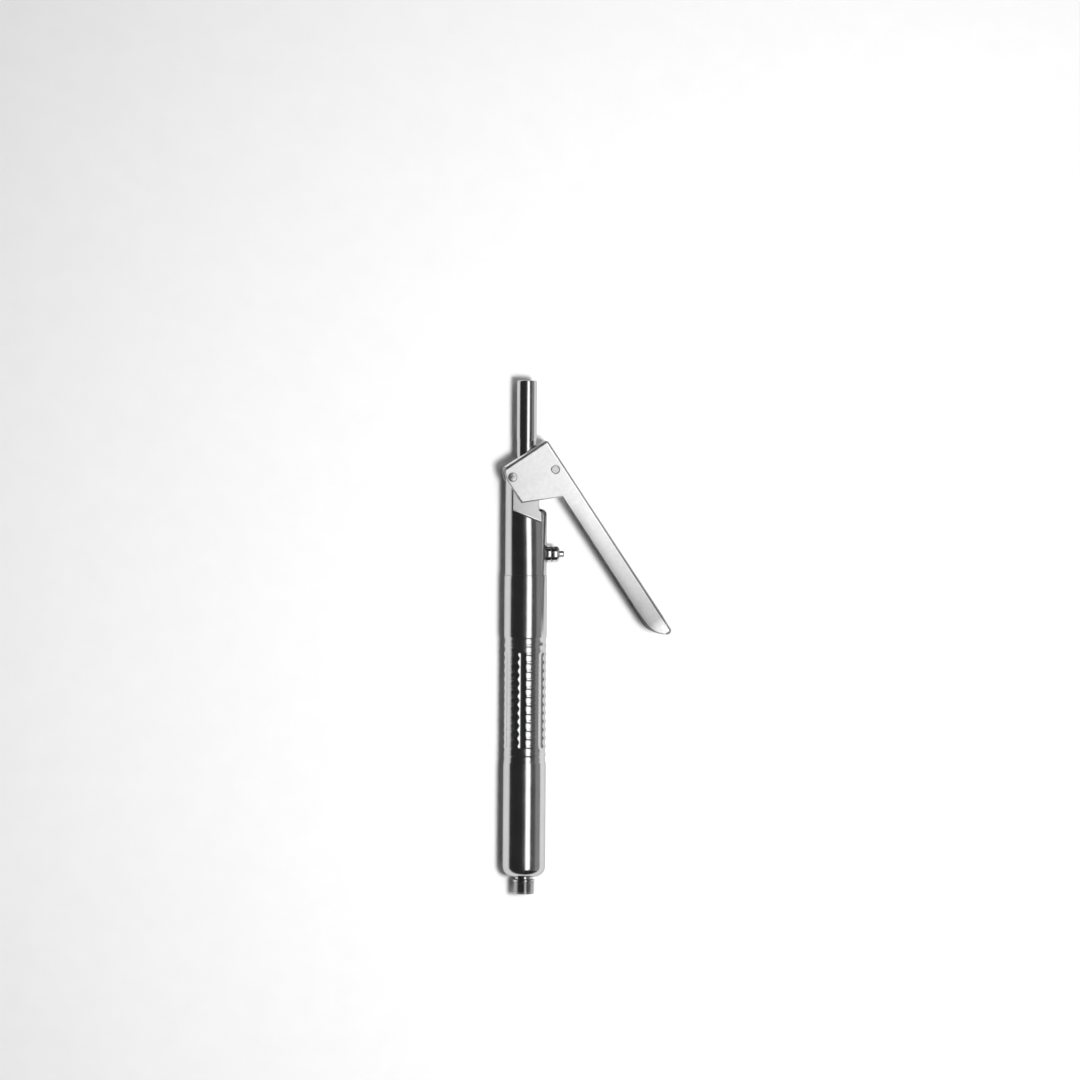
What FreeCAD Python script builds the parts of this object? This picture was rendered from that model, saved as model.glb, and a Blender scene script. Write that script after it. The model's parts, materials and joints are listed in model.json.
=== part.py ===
"""Lever operated hand injector gun, lying on its side.

X points from the barrel axis toward the lever, Y runs along the barrel from
the inlet thread to the outlet tube, Z is up and parallel to the lever pivot.
Heights along the barrel are measured from the open end of the inlet thread.
The origin is on the barrel axis, half way along the inlet thread.
All sizes are in millimetres and are kept in the spreadsheet "Sizes".
"""
import FreeCAD
import Part
import Sketcher
import math
import os
from FreeCAD import Placement, Rotation, Vector

SIZES = [
    # barrel
    ("barrel_radius", 12.85, "outside of the grip barrel"),
    ("barrel_length", 180.6, "length of the barrel"),
    ("barrel_wall", 3.35, "wall of the barrel"),
    ("floor_thickness", 14.0, "thickness of the barrel's lower end"),
    ("thread_length", 8.7, "length of the inlet thread"),
    ("neck_length", 1.8, "gap between the thread and the barrel"),
    ("barrel_foot", "thread_length + neck_length", "height of the barrel's lower end"),
    ("barrel_top", "barrel_foot + barrel_length", "height of the joint with the head"),
    ("barrel_bore", "barrel_radius - barrel_wall", "radius of the piston's cylinder"),
    ("barrel_floor", "barrel_foot + floor_thickness", "height of the cylinder's floor"),
    ("foot_round", 6.3, "corner radius of the barrel's lower end"),
    ("groove_start", 70.7, "from the barrel's lower end to the lowest ring groove"),
    ("first_groove", "barrel_foot + groove_start", "height of the lowest ring groove"),
    ("groove_span", 70.5, "from the lowest ring groove to the highest"),
    ("groove_count", 15, "number of ring grooves"),
    ("groove_cutter", 5.0, "section radius of a ring groove"),
    ("groove_depth", 0.55, "depth of a ring groove"),
    ("flute_cutter", 4.9, "section radius of a grip flute"),
    ("flute_depth", 1.0, "depth of a grip flute"),
    ("flute_margin", 8.7, "ring grooved length beyond a flute's full depth"),
    ("flute_low", "first_groove + flute_margin", "height where full depth starts"),
    ("flute_high", "first_groove + groove_span - flute_margin", "where full depth ends"),
    ("flute_count", 6, "number of grip flutes"),
    ("flute_turn", 12.4, "turn of the first flute from the top side"),
    # clearances
    ("run_gap", 0.05, "radial clearance of a turning or sliding fit"),
    ("seal_gap", 0.02, "radial clearance of a sliding seal"),
    ("piston_gap", 0.06, "radial clearance of the piston's body"),
    ("guide_gap", 0.04, "radial clearance of the piston's guide ring"),
    ("free_gap", 0.3, "radial clearance where nothing guides"),
    ("side_gap", 0.1, "clearance between flat faces that slide"),
    # outlet tube
    ("tube_radius", 6.0, "outside of the outlet tube's free end"),
    ("tube_wall", 2.0, "wall of the outlet tube's free end"),
    ("tube_bore", "tube_radius - tube_wall", "inside of the outlet tube"),
    ("tube_reach", 116.9, "from the barrel's upper end to the tube's free end"),
    ("tube_top", "barrel_top + tube_reach", "height of the tube's free end"),
    ("tube_round", 0.8, "rounding of the tube's free end"),
    ("free_length", 35.0, "length of the tube's free end, which stays above the lever"),
    ("rod_top", "tube_top - free_length", "height where the ground part of the tube ends"),
    ("rod_relief", 0.2, "depth to which the sliding part of the tube is ground"),
    ("rod_radius", "tube_radius - rod_relief", "outside of the sliding part"),
    ("rod_way", "rod_radius + free_gap", "hole that the tube passes freely"),
    # inlet nipple
    ("thread_radius", 6.58, "crest radius of the inlet thread"),
    ("thread_middle", 4.8, "height of the origin"),
    ("nose_round", 1.5, "rounding on the nose of the thread"),
    ("undercut_depth", 1.38, "depth of the neck below the thread's crest"),
    ("neck_radius", "thread_radius - undercut_depth", "radius of the neck"),
    ("spigot_radius", 6.0, "part of the nipple inside the barrel"),
    ("spigot_length", 7.5, "length of that part"),
    ("spigot_top", "barrel_foot + spigot_length", "height of the inlet valve seat"),
    ("inlet_bore", 2.75, "radius of the way through the nipple"),
    ("strainer_radius", 4.0, "radius of the strainer disc"),
    ("strainer_low", 1.0, "height of the strainer's lower face"),
    ("strainer_sheet", 0.8, "thickness of the strainer"),
    ("strainer_high", "strainer_low + strainer_sheet", "height of its upper face"),
    # piston, hanging below the head's spigot on a buffer
    ("head_spigot", 15.1, "length of the head inside the barrel"),
    ("head_foot", "barrel_top - head_spigot", "height of the spigot's lower end"),
    ("buffer_length", 5.9, "length of the rest buffer"),
    ("buffer_low", "head_foot - buffer_length", "height of the buffer's lower face"),
    ("piston_length", 20.0, "length of the piston"),
    ("piston_top", "buffer_low - side_gap", "height of the piston's upper face at rest"),
    ("piston_low", "piston_top - piston_length", "height of the piston's lower face at rest"),
    ("piston_radius", "barrel_bore - piston_gap", "outside of the piston"),
    ("piston_bore", 2.2, "radius of the way through the piston"),
    ("socket_depth", 12.0, "depth of the piston's socket for the tube"),
    ("tube_foot", "piston_top - socket_depth", "height of the tube's lower end"),
    ("guide_drop", 4.0, "from the piston's upper face to its guide ring"),
    ("guide_width", 4.0, "height of the guide ring"),
    ("guide_thickness", 0.96, "thickness of the guide ring"),
    ("guide_high", "piston_top - guide_drop", "height of the guide ring's upper edge"),
    ("guide_low", "guide_high - guide_width", "height of the guide ring's lower edge"),
    ("guide_outer", "barrel_bore - guide_gap", "outside radius of the guide ring"),
    ("guide_inner", "guide_outer - guide_thickness", "inside radius of the guide ring"),
    # seals of round section: ring radius is to the middle of the section
    ("nipple_ring_section", 0.9, "section radius of the seal on the nipple"),
    ("nipple_ring_rise", 3.5, "from the barrel's lower end to that seal"),
    ("nipple_ring_height", "barrel_foot + nipple_ring_rise", "height of that seal"),
    ("nipple_ring_radius", "spigot_radius - nipple_ring_section", "its ring radius"),
    ("joint_ring_section", 0.7, "section radius of the seal at the barrel joint"),
    ("joint_ring_drop", 4.1, "from the barrel joint down to that seal"),
    ("joint_ring_height", "barrel_top - joint_ring_drop", "height of that seal"),
    ("joint_ring_radius", "barrel_bore - joint_ring_section", "its ring radius"),
    ("rod_ring_section", 0.74, "section radius of the seal round the tube"),
    ("rod_ring_radius", "rod_radius + seal_gap + rod_ring_section", "its ring radius"),
    ("gland_length", 6.0, "length of the gland nut"),
    ("gland_top", "head_foot + gland_length", "height of the top of the gland nut"),
    ("rod_ring_rise", 2.0, "from the gland nut to the rod seal"),
    ("rod_ring_height", "gland_top + rod_ring_rise", "height of the rod seal"),
    ("piston_ring_section", 0.9, "section radius of the piston seal"),
    ("piston_ring_rise", 5.0, "from the piston's lower face to its seal"),
    ("piston_ring_height", "piston_low + piston_ring_rise", "height of the piston seal"),
    ("piston_ring_radius", "barrel_bore - seal_gap - piston_ring_section",
     "ring radius of the piston seal"),
    # valves
    ("seat_gap", 0.03, "clearance between a ball and the edge of its seat"),
    ("inlet_ball", 3.5, "radius of the inlet valve ball"),
    ("inlet_ball_height", "spigot_top + sqrt(inlet_ball ^ 2 - inlet_bore ^ 2) + seat_gap",
     "height of the seated inlet ball"),
    ("cage_length", 13.0, "length of the valve cage"),
    ("cage_top", "spigot_top + cage_length", "height of the top of the valve cage"),
    ("cage_gap", 0.7, "clearance round the ball in the cage"),
    ("cage_bore", "inlet_ball + cage_gap", "inside radius of the valve cage"),
    ("cage_hole", 2.0, "radius of the hole in the cage's top"),
    ("cage_wall", 1.5, "thickness of the cage's top"),
    ("cage_roof", "cage_top - cage_wall", "height of the inside of the cage's top"),
    ("cage_window", 1.5, "half the width of a window in the cage"),
    ("window_rise", 1.1, "from the cylinder's floor to the windows"),
    ("cage_window_low", "barrel_floor + window_rise", "height of the windows"),
    ("valve_wire", 0.3, "wire radius of the two valve springs"),
    ("inlet_coil", 2.7, "coil radius of the inlet valve spring"),
    ("inlet_coil_low", "inlet_ball_height + inlet_ball - 0.7", "end of the inlet spring"),
    ("outlet_gap", 0.7, "clearance round the outlet ball in the tube"),
    ("outlet_ball", "tube_bore - outlet_gap", "radius of the outlet valve ball"),
    ("outlet_coil", "outlet_ball - 2 * valve_wire", "coil radius of the outlet valve spring"),
    ("outlet_ball_height", "tube_foot + sqrt(outlet_ball ^ 2 - piston_bore ^ 2) + seat_gap",
     "height of the seated outlet ball"),
    ("outlet_coil_low", "outlet_ball_height + outlet_ball - 0.6", "end of the outlet spring"),
    ("retainer_rise", 16.0, "from the tube's lower end to the spring retainer"),
    ("retainer_length", 3.0, "length of the spring retainer"),
    ("retainer_low", "tube_foot + retainer_rise", "height of the spring retainer"),
    ("retainer_high", "retainer_low + retainer_length", "height of its upper face"),
    ("retainer_hole", 1.6, "hole in the spring retainer"),
    # return spring
    ("seat_thickness", 1.0, "thickness of the spring seat washer"),
    ("seat_top", "barrel_floor + seat_thickness", "height of the seat washer's top"),
    ("seat_radius", "barrel_bore - free_gap", "outside of the spring seat washer"),
    ("seat_hole", "spigot_radius + free_gap", "hole in it that the valve cage passes"),
    ("spring_wire", 0.7, "wire radius of the return spring"),
    ("spring_coil", "barrel_bore - spring_wire - 2 * free_gap", "its coil radius"),
    ("spring_turns", 16, "turns of the return spring"),
    # head
    ("head_step", 0.35, "step from the barrel down to the head"),
    ("head_radius", "barrel_radius - head_step", "outside of the head"),
    ("head_bore", "rod_ring_radius + rod_ring_section", "bore that holds seals and bushes"),
    ("bore_rise", 36.9, "from the barrel joint to the top of that bore"),
    ("head_bore_top", "barrel_top + bore_rise", "height where that bore ends"),
    ("bush_bore", "rod_radius + run_gap", "inside of the two guide bushes"),
    ("low_bush_rise", 4.0, "from the gland nut to the lower guide bush"),
    ("bush_length", 13.0, "length of each guide bush"),
    ("low_bush_foot", "gland_top + low_bush_rise", "height of the lower guide bush"),
    ("low_bush_top", "low_bush_foot + bush_length", "height of its upper end"),
    ("high_bush_foot", "head_bore_top - bush_length", "height of the upper guide bush"),
    ("shoulder_rise", 40.0, "from the barrel joint to the shoulder"),
    ("shoulder_height", "barrel_top + shoulder_rise", "height of the shoulder"),
    ("shoulder_round", 3.6, "rounding of the shoulder"),
    ("tongue_rise", 62.9, "from the barrel joint to the top of the tongue"),
    ("tongue_top", "barrel_top + tongue_rise", "height of the top of the tongue"),
    ("tongue_right", 7.1, "distance of the tongue's lever side face"),
    ("tongue_round", 4.0, "rounding of the tongue's upper corner"),
    ("ledge_reach", 14.0, "distance at which the ledge heights are given"),
    ("ledge_rise", 29.3, "from the barrel joint to the ledge at the lever side"),
    ("ledge_slope", 11.15, "height the ledge gains away from the lever"),
    ("ledge_low", "barrel_top + ledge_rise", "height of the ledge at the lever side"),
    ("ledge_high", "ledge_low + ledge_slope", "height of the ledge's other end"),
    ("ledge_round", 1.2, "radius in the corner above the ledge"),
    # lever: x and y are measured from the pivot with the back upright
    ("open_angle", 33.4, "angle of the lever at rest"),
    ("lever_half", 11.45, "half the outside width of the lever"),
    ("sheet", 1.8, "thickness of the lever's sheet"),
    ("lever_gap", "lever_half - sheet", "half the inside width of the lever"),
    ("lever_back", 30.1, "outer face of the lever's back"),
    ("lever_top", 7.8, "outer face of the lever's top flange"),
    ("lever_bend", 2.2, "outside radius of the sheet's bends"),
    ("top_corner_x", -0.2, "left end of the top edge"),
    ("ear_x", -3.9, "left side of the pivot ears"),
    ("ear_top", -1.0, "where the ear's left side starts to curve"),
    ("ear_curve", 12.6, "radius of the ear's upper curve"),
    ("ear_foot_x", -3.7, "lower left corner of the ears"),
    ("ear_foot_y", -15.9, "lower left corner of the ears"),
    ("arm_depth", 11.2, "depth of the arm's side plates"),
    ("arm_edge", "lever_back - arm_depth", "inner edge of the arm"),
    ("arm_start", -26.2, "where the arm leaves the ears"),
    ("arm_end", -116.0, "where the arm's side plates turn toward the tip"),
    ("back_flare", 0.6, "how much deeper the arm is at its tip"),
    ("tip_y", -130.1, "lowest point of the lever"),
    ("lip", 3.4, "length of the lip folded in at the tip"),
    ("back_end", "lever_back + back_flare", "outer face of the back at the tip"),
    ("lip_end", "back_end - lip", "free end of the lip"),
    ("tip_curve", 16.0, "radius of the side plates at the tip"),
    ("flange_slot_end", 23.3, "end of the tube's slot in the top flange"),
    ("flange_slot_half", "tube_radius + free_gap", "half the width of that slot"),
    ("pin_x", 23.97, "drive pin, from the pivot"),
    ("pin_y", -10.08, "drive pin, from the pivot"),
    ("pin_radius", 2.1, "radius of the drive pin"),
    ("pin_rim", 0.25, "overhang of the drive pin's rims"),
    ("pin_proud", 0.35, "height of the drive pin's rims"),
    ("pin_end", "lever_half + pin_proud", "outer face of the drive pin"),
    # pivot
    ("pivot_x", -9.0, "distance of the lever pivot from the barrel axis"),
    ("pivot_rise", 58.7, "from the barrel joint to the lever pivot"),
    ("pivot_height", "barrel_top + pivot_rise", "height of the lever pivot"),
    ("pivot_radius", 2.0, "shank of the pivot screw"),
    ("pivot_hole", "pivot_radius + run_gap", "hole in the lever for the pivot screw"),
    ("pivot_head", 2.75, "head of the pivot screw"),
    ("pivot_head_height", 1.3, "height of the pivot screw's head"),
    ("pivot_head_low", "lever_half + side_gap", "underside of the pivot screw's head"),
    ("pivot_head_top", "pivot_head_low + pivot_head_height", "top of that head"),
    ("pivot_slot_half", 0.45, "half the width of the screwdriver slot"),
    ("pivot_slot_depth", 0.7, "depth of the screwdriver slot"),
    ("nut_radius", 3.4, "corner radius of the pivot nut"),
    ("nut_height", 1.15, "height of the pivot nut"),
    ("nut_end", "pivot_head_low + nut_height", "outer face of the pivot nut"),
    ("washer_radius", 3.2, "outside of the pivot washers"),
    ("washer_hole", "pivot_radius + side_gap", "hole in the pivot washers"),
    ("washer_thickness", 0.5, "thickness of a pivot washer"),
    ("washer_outer", "lever_gap - side_gap", "outer face of a pivot washer"),
    ("tongue_flat", "washer_outer - washer_thickness", "half the tongue's thickness"),
    ("ledge_depth", "head_radius - tongue_flat", "depth of the ledge beside the tongue"),
    ("ledge_fillet", "min(ledge_round; 0.6 * ledge_depth)",
     "radius above the ledge, limited by the ledge's depth"),
    # fork on the outlet tube, level with the drive pin at rest
    ("fork_height", "pivot_height + pin_x * sin(open_angle) + pin_y * cos(open_angle)",
     "height of the fork's gap at rest"),
    ("fork_gap", "pin_radius + side_gap", "half the gap between the fork's prongs"),
    ("prong", 1.45, "thickness of a prong"),
    ("fork_outer", "fork_gap + prong", "half the height of the fork"),
    ("fork_half", 3.9, "half the thickness of the fork"),
    ("slot_half", "fork_half + side_gap", "half the width of the tongue's slot"),
    ("fork_travel", 14.0, "room below the fork for its travel"),
    ("slot_floor", "fork_height - fork_outer - fork_travel - side_gap",
     "height of the bottom of the slot"),
    ("fork_root", 4.6, "distance of the fork's root from the tube axis"),
    ("fork_floor", 10.4, "distance of the bottom of the fork's gap"),
    ("fork_lap", 1.0, "length of the prongs beyond the pin's centre at rest"),
    ("fork_end", "pivot_x + pin_x * cos(open_angle) - pin_y * sin(open_angle) + fork_lap",
     "distance of the fork's ends"),
    ("fork_round", 1.1, "rounding of the fork's ends"),
    ("screw_radius", 1.25, "shank of the fork screw"),
    ("screw_head", 1.8, "head radius of the fork screw"),
    ("screw_head_height", 1.5, "height of the fork screw's head"),
    ("screw_head_end", "fork_floor + screw_head_height", "outer face of that head"),
    # side stop
    ("stop_rise", 12.9, "from the barrel joint to the side stop"),
    ("stop_height", "barrel_top + stop_rise", "height of the side stop"),
    ("boss_root", 3.2, "radius of the stop boss inside the head"),
    ("boss_start", "head_bore + 0.7", "distance of the boss's inner end"),
    ("boss_sink", 0.9, "depth of the flat under the boss's collar"),
    ("boss_face", "head_radius - boss_sink", "distance of the collar's inner face"),
    ("boss_radius", 5.2, "radius of the boss's collar"),
    ("boss_length", 3.8, "length of the boss's collar"),
    ("boss_end", "boss_face + boss_length", "distance of the collar's outer face"),
    ("locknut_radius", 5.0, "radius of the lock nut"),
    ("locknut_length", 4.6, "length of the lock nut"),
    ("locknut_end", "boss_end + locknut_length", "distance of its outer face"),
    ("locknut_chamfer", 1.3, "chamfer of the lock nut"),
    ("stop_radius", 2.05, "radius of the stop screw"),
    ("stop_bore", "stop_radius + run_gap", "hole through boss and lock nut"),
    ("stop_length", 10.9, "length of the stop screw"),
    ("stop_proud", 2.9, "length of the stop screw beyond the lock nut"),
    ("stop_end", "locknut_end + stop_proud", "distance of the stop screw's tip"),
    ("stop_start", "stop_end - stop_length", "distance of its inner end"),
]

doc = FreeCAD.newDocument("InjectorGun")
sheet = doc.addObject("Spreadsheet::Sheet", "Sizes")
for row, (name, size, note) in enumerate(SIZES, start=1):
    sheet.set("A%d" % row, name)
    sheet.set("B%d" % row, "=" + size if isinstance(size, str) else str(size))
    sheet.set("C%d" % row, note)
    sheet.setAlias("B%d" % row, name)
doc.recompute()
VALUE = {name: float(getattr(sheet, name)) for name, size, note in SIZES}

nodes = []


def value_of(formula):
    """Value of a sum such as "barrel_radius - groove_depth + 0.5"."""
    total = 0.0
    sign = 1.0
    for word in formula.split():
        if word in "+-":
            sign = 1.0 if word == "+" else -1.0
        else:
            total += sign * (VALUE[word] if word in VALUE else float(word))
    return total


def bound(formula):
    """The same sum as an expression on the spreadsheet."""
    words = ["Sizes." + word if word in VALUE else word for word in formula.split()]
    return " ".join(words)


def new_body(name):
    body = doc.addObject("PartDesign::Body", name)
    body.Label = name
    nodes.append(body)
    return body


def sketch_on(body, role, shift=None, turn=None):
    """Sketch on one of the body's own planes, moved by formulas in shift."""
    sketch = body.newObject("Sketcher::SketchObject", body.Name + "_sketch")
    plane = [item for item in body.Origin.OriginFeatures if item.Role == role][0]
    sketch.AttachmentSupport = (plane, [""])
    sketch.MapMode = "FlatFace"
    if turn is not None:
        sketch.AttachmentOffset = Placement(Vector(0, 0, 0), turn)
    for letter, formula in (shift or {}).items():
        sketch.setExpression("AttachmentOffset.Base." + letter, bound(formula))
    return sketch


def pin_point(sketch, index, end, across, up):
    """Fix one point of a sketch by two formulas."""
    for kind, formula in (("DistanceX", across), ("DistanceY", up)):
        link = Sketcher.Constraint(kind, -1, 1, index, end, value_of(formula))
        number = sketch.addConstraint(link)
        sketch.setExpression("Constraints[%d]" % number, bound(formula))


def pin_radius(sketch, index, formula):
    number = sketch.addConstraint(Sketcher.Constraint("Radius", index, value_of(formula)))
    sketch.setExpression("Constraints[%d]" % number, bound(formula))


def draw_circle(sketch, across, up, radius):
    centre = Vector(value_of(across), value_of(up), 0)
    circle = Part.Circle(centre, Vector(0, 0, 1), value_of(radius))
    index = sketch.addGeometry(circle, False)
    pin_point(sketch, index, 3, across, up)
    pin_radius(sketch, index, radius)


def draw_outline(sketch, corners):
    """Closed outline through corners, each (across, up) or
    (across, up, radius) for an arc that turns clockwise to reach it."""
    points = [Vector(value_of(c[0]), value_of(c[1]), 0) for c in corners]
    ends = []
    for i, corner in enumerate(corners):
        start = points[i - 1]
        stop = points[i]
        if len(corner) == 2:
            index = sketch.addGeometry(Part.LineSegment(start, stop), False)
            ends.append((index, 1, 2))
        else:
            radius = value_of(corner[2])
            chord = stop - start
            rise = math.sqrt(radius ** 2 - chord.Length ** 2 / 4)
            right = Vector(chord.y, -chord.x, 0).normalize()
            centre = (start + stop) * 0.5 + right * rise
            circle = Part.Circle(centre, Vector(0, 0, 1), radius)
            from_stop = math.atan2(stop.y - centre.y, stop.x - centre.x)
            from_start = math.atan2(start.y - centre.y, start.x - centre.x)
            arc = Part.ArcOfCircle(circle, from_stop, from_start)
            index = sketch.addGeometry(arc, False)
            ends.append((index, 2, 1))
    for i, (index, start_end, stop_end) in enumerate(ends):
        after = ends[(i + 1) % len(ends)]
        link = Sketcher.Constraint("Coincident", index, stop_end, after[0], after[1])
        sketch.addConstraint(link)
    for (index, start_end, stop_end), corner in zip(ends, corners):
        pin_point(sketch, index, stop_end, corner[0], corner[1])
        if len(corner) == 3:
            pin_radius(sketch, index, corner[2])


def turn_outline(body, corners, shift=None):
    """Solid turned about the body's Z axis."""
    sketch = sketch_on(body, "XZ_Plane", shift)
    draw_outline(sketch, corners)
    solid = body.newObject("PartDesign::Revolution", body.Name + "_turned")
    solid.Profile = sketch
    solid.ReferenceAxis = (sketch, ["V_Axis"])
    solid.Angle = 360
    doc.recompute()
    return solid


def turned(name, corners, shift=None):
    body = new_body(name)
    turn_outline(body, corners, shift)
    return body


def ring(name, ring_radius, height, section):
    """Ring of round section about the body's Z axis."""
    body = new_body(name)
    sketch = sketch_on(body, "XZ_Plane")
    draw_circle(sketch, ring_radius, height, section)
    solid = body.newObject("PartDesign::Revolution", name + "_turned")
    solid.Profile = sketch
    solid.ReferenceAxis = (sketch, ["V_Axis"])
    solid.Angle = 360
    return body


def tube_outline(inner, outer, low, high):
    return [(inner, low), (outer, low), (outer, high), (inner, high)]


def cut(body, sketch, half_length=None, one_side=False):
    """Pocket through everything, or through a set half length each way."""
    pocket = body.newObject("PartDesign::Pocket", body.Name + "_cut")
    pocket.Profile = sketch
    pocket.Type = "ThroughAll"
    if not one_side:
        pocket.SideType = "Symmetric"
    if half_length is not None:
        pocket.Type = "Length"
        pocket.setExpression("Length", "2 * " + bound(half_length))
    doc.recompute()
    return pocket


def pad(body, sketch, half_length):
    solid = body.newObject("PartDesign::Pad", body.Name + "_pad")
    solid.Profile = sketch
    solid.SideType = "Symmetric"
    solid.setExpression("Length", "2 * " + bound(half_length))
    doc.recompute()
    return solid


def around(body, feature, count):
    """Repeat a feature evenly about the body's Z axis."""
    axis = [item for item in body.Origin.OriginFeatures if item.Role == "Z_Axis"][0]
    pattern = body.newObject("PartDesign::PolarPattern", body.Name + "_around")
    pattern.Originals = [feature]
    pattern.Axis = (axis, [""])
    pattern.Angle = 360
    pattern.setExpression("Occurrences", bound(count))
    body.Tip = pattern
    doc.recompute()
    return pattern


def soften(body, kind, size, test):
    """Fillet or chamfer every edge whose middle passes the test."""
    doc.recompute()
    base = body.Tip
    names = []
    for number, edge in enumerate(base.Shape.Edges, start=1):
        low, high = edge.ParameterRange
        middle = edge.valueAt((low + high) / 2)
        if test(middle, edge):
            names.append("Edge%d" % number)
    if not names:
        raise ValueError("no edge found on " + body.Label)
    feature = body.newObject("PartDesign::" + kind, body.Name + "_" + kind.lower())
    feature.Base = (base, names)
    feature.setExpression("Radius" if kind == "Fillet" else "Size", bound(size))
    doc.recompute()
    return feature


def near(number, formula, slack=0.02):
    return abs(number - value_of(formula)) < slack


def along_barrel(thing):
    """Local Z runs along the barrel, local minus Y points up."""
    thing.Placement = Placement(Vector(0, 0, 0), Rotation(Vector(1, 0, 0), -90))
    thing.setExpression("Placement.Base.y", bound("0 - thread_middle"))


def toward_lever(thing):
    """Local Z points from the barrel axis toward the lever."""
    thing.Placement = Placement(Vector(0, 0, 0), Rotation(Vector(0, 1, 0), 90))
    thing.setExpression("Placement.Base.y", bound("stop_height - thread_middle"))


def at_pivot(thing, turned_with_lever):
    """Local Z is the pivot's axis."""
    angle = VALUE["open_angle"] if turned_with_lever else 0
    thing.Placement = Placement(Vector(0, 0, 0), Rotation(Vector(0, 0, 1), angle))
    if turned_with_lever:
        thing.setExpression("Placement.Rotation.Angle", bound("open_angle"))
    thing.setExpression("Placement.Base.x", bound("pivot_x"))
    thing.setExpression("Placement.Base.y", bound("pivot_height - thread_middle"))


# Grip barrel: plain tube with a round foot, ring grooves and grip flutes.
barrel = turned("barrel", [
    ("spigot_radius", "barrel_foot"),
    ("barrel_radius", "barrel_foot"),
    ("barrel_radius", "barrel_top"),
    ("barrel_bore", "barrel_top"),
    ("barrel_bore", "barrel_floor"),
    ("spigot_radius", "barrel_floor"),
])
soften(barrel, "Fillet", "foot_round",
       lambda p, e: near(p.z, "barrel_foot") and near(math.hypot(p.x, p.y), "barrel_radius"))
sketch = sketch_on(barrel, "XZ_Plane")
draw_circle(sketch, "barrel_radius + groove_cutter - groove_depth", "first_groove",
            "groove_cutter")
groove = barrel.newObject("PartDesign::Groove", "ring_groove")
groove.Profile = sketch
groove.ReferenceAxis = (sketch, ["V_Axis"])
groove.Angle = 360
grooves = barrel.newObject("PartDesign::LinearPattern", "ring_grooves")
grooves.Originals = [groove]
grooves.Direction = ([i for i in barrel.Origin.OriginFeatures if i.Role == "Z_Axis"][0], [""])
grooves.setExpression("Length", bound("groove_span"))
grooves.setExpression("Occurrences", bound("groove_count"))
barrel.Tip = grooves
doc.recompute()
# One flute is a capsule turned about a line beside the barrel.
FLUTE_AXIS = "barrel_radius + flute_cutter - flute_depth"
FLUTE_WALL = "barrel_radius - flute_depth"
sketch = sketch_on(barrel, "XZ_Plane", None,
                   Rotation(Vector(0, 1, 0), 90 - VALUE["flute_turn"]))
draw_outline(sketch, [
    (FLUTE_AXIS, "flute_low - flute_cutter"),
    (FLUTE_WALL, "flute_low", "flute_cutter"),
    (FLUTE_WALL, "flute_high"),
    (FLUTE_AXIS, "flute_high + flute_cutter", "flute_cutter"),
])
low_end = Vector(value_of(FLUTE_AXIS), value_of("flute_low"), 0)
high_end = Vector(value_of(FLUTE_AXIS), value_of("flute_high"), 0)
axis_line = sketch.addGeometry(Part.LineSegment(low_end, high_end), True)
pin_point(sketch, axis_line, 1, FLUTE_AXIS, "flute_low")
pin_point(sketch, axis_line, 2, FLUTE_AXIS, "flute_high")
flute = barrel.newObject("PartDesign::Groove", "grip_flute")
flute.Profile = sketch
flute.ReferenceAxis = (sketch, ["Axis0"])
flute.Angle = 360
doc.recompute()
around(barrel, flute, "flute_count")
along_barrel(barrel)

# Inlet nipple: thread, neck and the spigot that ends in the valve seat.
nipple = turned("inlet_nipple", [
    ("strainer_radius", "0"),
    ("thread_radius", "0"),
    ("thread_radius", "thread_length"),
    ("neck_radius", "thread_length + 0.6"),
    ("neck_radius", "barrel_foot"),
    ("spigot_radius", "barrel_foot"),
    ("spigot_radius", "nipple_ring_height - nipple_ring_section"),
    ("nipple_ring_radius - nipple_ring_section", "nipple_ring_height - nipple_ring_section"),
    ("nipple_ring_radius - nipple_ring_section", "nipple_ring_height + nipple_ring_section"),
    ("spigot_radius", "nipple_ring_height + nipple_ring_section"),
    ("spigot_radius", "spigot_top"),
    ("inlet_bore", "spigot_top"),
    ("inlet_bore", "strainer_high"),
    ("strainer_radius", "strainer_high"),
])
soften(nipple, "Fillet", "nose_round",
       lambda p, e: near(p.z, "0") and near(math.hypot(p.x, p.y), "thread_radius"))
along_barrel(nipple)

along_barrel(ring("nipple_o_ring", "nipple_ring_radius", "nipple_ring_height",
                  "nipple_ring_section"))

# Strainer: a disc with one hole in the middle and six round it.
strainer = turned("inlet_strainer", tube_outline("0", "strainer_radius", "strainer_low",
                                                 "strainer_high"))
sketch = sketch_on(strainer, "XY_Plane")
draw_circle(sketch, "0", "0", "0.7")
cut(strainer, sketch)
sketch = sketch_on(strainer, "XY_Plane")
draw_circle(sketch, "1.9", "0", "0.6")
around(strainer, cut(strainer, sketch), "6")
along_barrel(strainer)

# Valve cage: a cup turned upside down over the inlet ball, with windows.
cage = turned("inlet_valve_cage", [
    ("cage_bore", "spigot_top"),
    ("spigot_radius", "spigot_top"),
    ("spigot_radius", "cage_top"),
    ("cage_hole", "cage_top"),
    ("cage_hole", "cage_roof"),
    ("cage_bore", "cage_roof"),
])
for role in ("XZ_Plane", "YZ_Plane"):
    sketch = sketch_on(cage, role)
    draw_outline(sketch, [
        ("0 - cage_window", "cage_window_low"),
        ("cage_window", "cage_window_low"),
        ("cage_window", "cage_roof"),
        ("0 - cage_window", "cage_roof"),
    ])
    cut(cage, sketch)
along_barrel(cage)


def ball(name, radius, height):
    """Ball on the barrel axis."""
    thing = doc.addObject("Part::Sphere", name)
    thing.Label = name
    thing.setExpression("Radius", bound(radius))
    thing.setExpression("Placement.Base.y", bound(height + " - thread_middle"))
    nodes.append(thing)


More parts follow.
